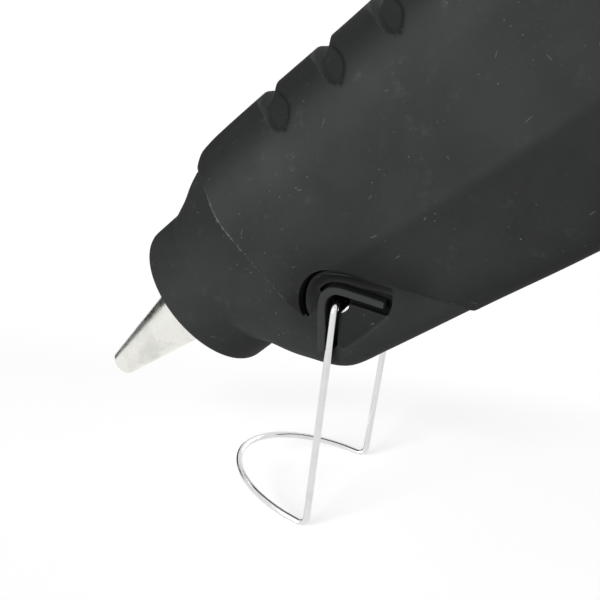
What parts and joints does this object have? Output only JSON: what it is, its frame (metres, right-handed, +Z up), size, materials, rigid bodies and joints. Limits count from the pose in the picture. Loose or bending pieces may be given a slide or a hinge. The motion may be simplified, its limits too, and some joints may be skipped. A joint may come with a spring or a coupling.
{
  "type": "hot glue applicator",
  "caption": "Pistol-shaped hot glue applicator standing nose down on a folding wire stand and its grip, with a trigger feed.",
  "frame": {"origin": "on the ground, under the middle of the box round the whole part", "axes": "+Z up, -X the way that the nozzle points, +Y across the gun to its right side, with the gun nose down on its stand"},
  "size_m": [0.2434, 0.0444, 0.1606],
  "materials": {
    "case_plastic": "fine matt moulded black",
    "trigger_plastic": "matt moulded black",
    "silicone": "soft dark silicone",
    "aluminium": "turned and lightly polished",
    "steel": "bright plated",
    "ceramic": "unglazed white"
  },
  "bodies": {
    "housing": {"case_screw_1": "steel", "case_screw_2": "steel", "case_screw_3": "steel", "case_screw_4": "steel", "case_screw_5": "steel", "case_screw_6": "steel", "case_screw_7": "steel", "case_screw_8": "steel", "heater_clip": "steel", "heater_plate": "ceramic", "inlet_sleeve": "silicone", "lead_bush": "silicone", "left_shell": "case_plastic", "melt_chamber": "aluminium", "nozzle": "aluminium", "nozzle_boot": "silicone", "return_spring": "steel", "right_shell": "case_plastic", "sleeve_clamp": "steel", "stick_guide": "case_plastic", "terminal_block": "ceramic", "trigger_pin": "steel"},
    "stand": {"wire_stand": "steel"},
    "trigger": {"trigger": "trigger_plastic", "drive_pin": "steel"},
    "carriage": {"feed_carriage": "trigger_plastic", "claw_pin": "steel"},
    "claw": {"grip_lever": "steel"}
  },
  "joints": [
    {"name": "stand_swing", "type": "hinge", "parent": "housing", "child": "stand", "pos_m": [-0.06053, 0, 0.04735], "axis": [0, -1, 0], "range_deg": [0, 88]},
    {"name": "trigger_pull", "type": "hinge", "parent": "housing", "child": "trigger", "pos_m": [0.00389, 0, 0.07853], "axis": [0, -1, 0], "range_deg": [0, 28], "stiffness_Nm_per_rad": 0.8, "springref_deg": -14.32},
    {"name": "carriage_feed", "type": "slide", "parent": "housing", "child": "carriage", "axis": [-0.77, 0, -0.6381], "range_m": [0, 0.008], "deforming": ["return_spring"]},
    {"name": "claw_tilt", "type": "hinge", "parent": "carriage", "child": "claw", "pos_m": [-0.01206, 0, 0.09778], "axis": [0, 1, 0], "range_deg": [0, 8.5]}
  ],
  "couplings": [
    {"joint": "carriage_feed", "follows": "trigger_pull", "m_per_rad": 0.016166},
    {"joint": "claw_tilt", "follows": "trigger_pull", "ratio": 0.28571}
  ]
}
